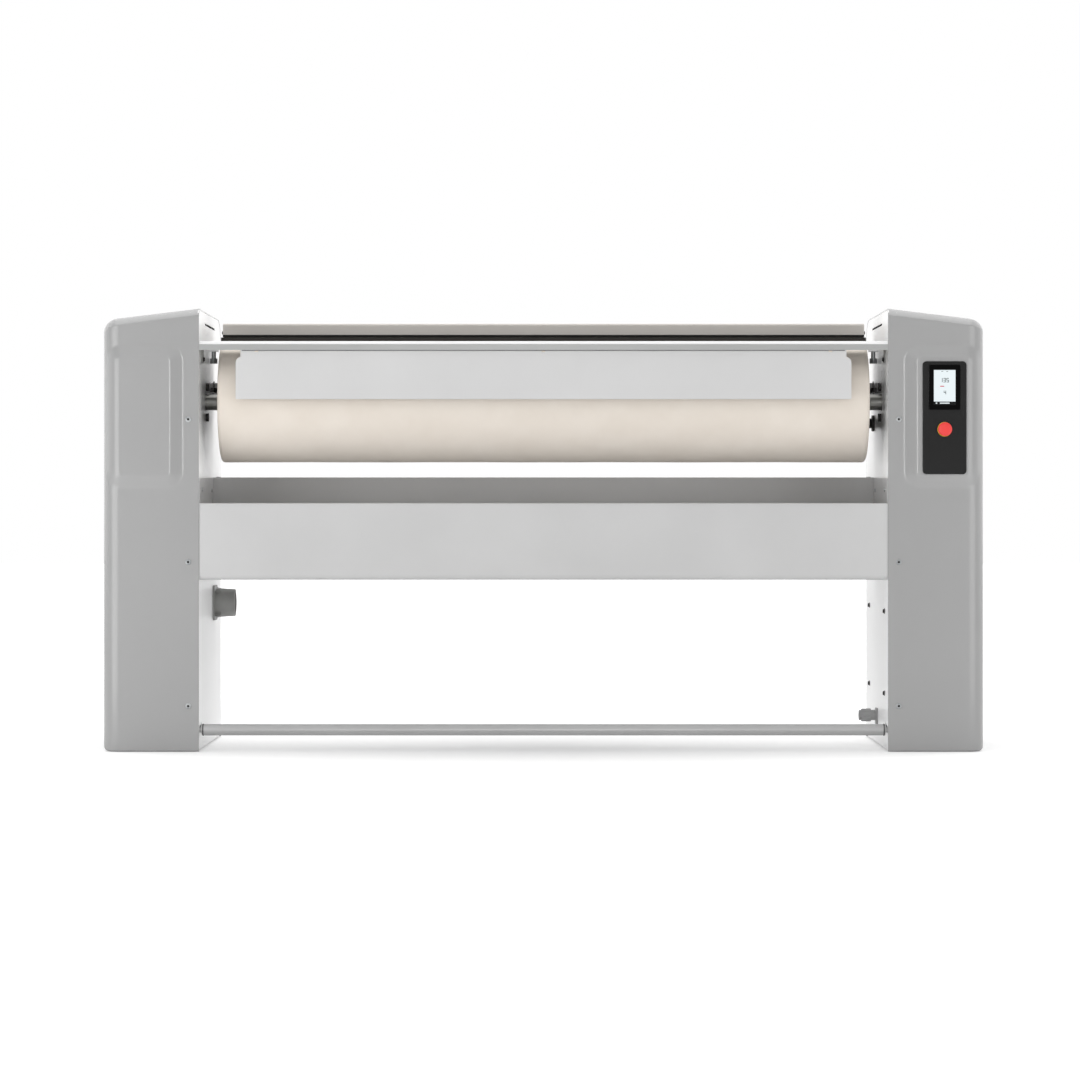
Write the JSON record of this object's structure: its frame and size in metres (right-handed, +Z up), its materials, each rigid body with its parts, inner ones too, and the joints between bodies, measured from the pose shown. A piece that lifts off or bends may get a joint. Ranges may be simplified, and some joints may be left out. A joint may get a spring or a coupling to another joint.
{
  "type": "flatwork ironer",
  "caption": "Roller ironer with a padded roller, a heated chest that closes on it from behind, a feed table, a linen tray and two floor-standing cabinets.",
  "frame": {"origin": "on the floor, at the middle of the object's width and depth", "axes": "+X to the right seen from the operator's side, +Y to the back, +Z up; the roller lies along X"},
  "size_m": [2.152, 0.632, 1.082],
  "materials": {
    "cover": "thermoformed ABS, satin",
    "white_sheet": "white powder coat, semi-gloss",
    "grey_sheet": "light grey powder coat, satin",
    "guard": "light grey powder coat, satin",
    "tray": "grey powder coat, satin",
    "hood": "warm grey powder coat, satin",
    "padding": "needled aramid felt, matt",
    "steel": "turned steel",
    "dark_steel": "dark phosphated or painted steel",
    "zinc": "bright zinc plate",
    "aluminium": "die-cast, blasted",
    "shoe": "blackened steel",
    "rubber": "moulded, matt",
    "hose": "flexible plastic hose, matt",
    "plate": "polycarbonate film, fine matt",
    "bezel": "moulded, gloss",
    "screen": "lit display behind clear glass",
    "red": "moulded red plastic",
    "yellow": "moulded yellow plastic",
    "pedal": "grey powder coat, satin",
    "spigot": "moulded grey plastic",
    "gland": "moulded grey polyamide"
  },
  "bodies": {
    "frame": {"drive_chain": "dark_steel", "right_side_frame": "white_sheet", "left_side_frame": "white_sheet", "right_cover": "cover", "left_cover": "cover", "fan_housing": "aluminium", "drive_motor": "dark_steel", "left_bearing": "dark_steel", "right_bearing": "dark_steel", "suction_duct": "grey_sheet", "gearbox": "aluminium", "exhaust_spigot": "spigot", "feed_table": "grey_sheet", "exhaust_hose": "hose", "pedal_spring": "steel", "chest_actuator": "aluminium", "motor_bracket": "zinc", "linen_tray": "tray", "rear_beam": "dark_steel", "emergency_stop_collar": "yellow", "cable_gland": "gland", "gland_nut": "gland", "left_rear_panel": "grey_sheet", "right_rear_panel": "grey_sheet", "heater_conduit": "dark_steel", "front_left_foot": "rubber", "rear_left_foot": "rubber", "front_right_foot": "rubber", "rear_right_foot": "rubber", "left_stop_bolt": "zinc", "right_stop_bolt": "zinc", "left_base_plate": "zinc", "right_base_plate": "zinc", "control_plate": "plate", "electrical_box": "zinc", "display_bezel": "bezel", "guard_hinge_rod": "zinc", "display_screen": "screen"},
    "roller": {"roller_padding": "padding", "roller_drum": "zinc", "left_roller_end": "steel", "right_roller_end": "steel", "driven_sprocket": "steel"},
    "drive": {"drive_sprocket": "steel"},
    "chest": {"heated_chest": "shoe", "upper_heating_element": "steel", "lower_heating_element": "steel", "chest_hood": "hood", "left_chest_hanger": "dark_steel", "right_chest_hanger": "dark_steel", "torsion_shaft": "steel", "left_chest_arm": "zinc", "right_chest_arm": "zinc"},
    "actuator": {"actuator_rod": "zinc"},
    "guard": {"guard_plate": "guard"},
    "pedal": {"pedal_bar": "pedal", "left_pedal_arm": "zinc", "right_pedal_arm": "zinc"},
    "stop_button": {"emergency_stop_button": "red"},
    "fan": {"fan_wheel": "zinc"}
  },
  "joints": [
    {"name": "roller_spin", "type": "hinge", "parent": "frame", "child": "roller", "pos_m": [0, -0.106, 0.858], "axis": [-1, 0, 0], "continuous": true, "deforming": ["drive_chain"]},
    {"name": "drive_spin", "type": "hinge", "parent": "frame", "child": "drive", "pos_m": [0.897, -0.106, 0.73804], "axis": [-1, 0, 0], "continuous": true},
    {"name": "chest_open", "type": "hinge", "parent": "frame", "child": "chest", "pos_m": [0, 0.13, 0.64], "axis": [-1, 0, 0], "range_deg": [0, 8]},
    {"name": "actuator_slide", "type": "slide", "parent": "frame", "child": "actuator", "axis": [0, 0, -1], "range_m": [0, 0.0126]},
    {"name": "guard_push", "type": "hinge", "parent": "frame", "child": "guard", "pos_m": [0, -0.28, 0.9872], "axis": [1, 0, 0], "range_deg": [0, 8], "stiffness_Nm_per_rad": 6, "springref_deg": -20.05},
    {"name": "pedal_press", "type": "hinge", "parent": "frame", "child": "pedal", "pos_m": [0, -0.268, 0.205], "axis": [1, 0, 0], "range_deg": [0, 18], "stiffness_Nm_per_rad": 12, "springref_deg": -20.05},
    {"name": "e_stop_press", "type": "slide", "parent": "frame", "child": "stop_button", "axis": [0, 1, 0], "range_m": [0, 0.0035], "stiffness_N_per_m": 2000, "springref_m": -0.002},
    {"name": "fan_spin", "type": "hinge", "parent": "frame", "child": "fan", "pos_m": [-1, -0.106, 0.56], "axis": [1, 0, 0], "continuous": true}
  ],
  "couplings": [
    {"joint": "drive_spin", "follows": "roller_spin", "ratio": 2},
    {"joint": "actuator_slide", "follows": "chest_open", "m_per_rad": 0.0898}
  ]
}
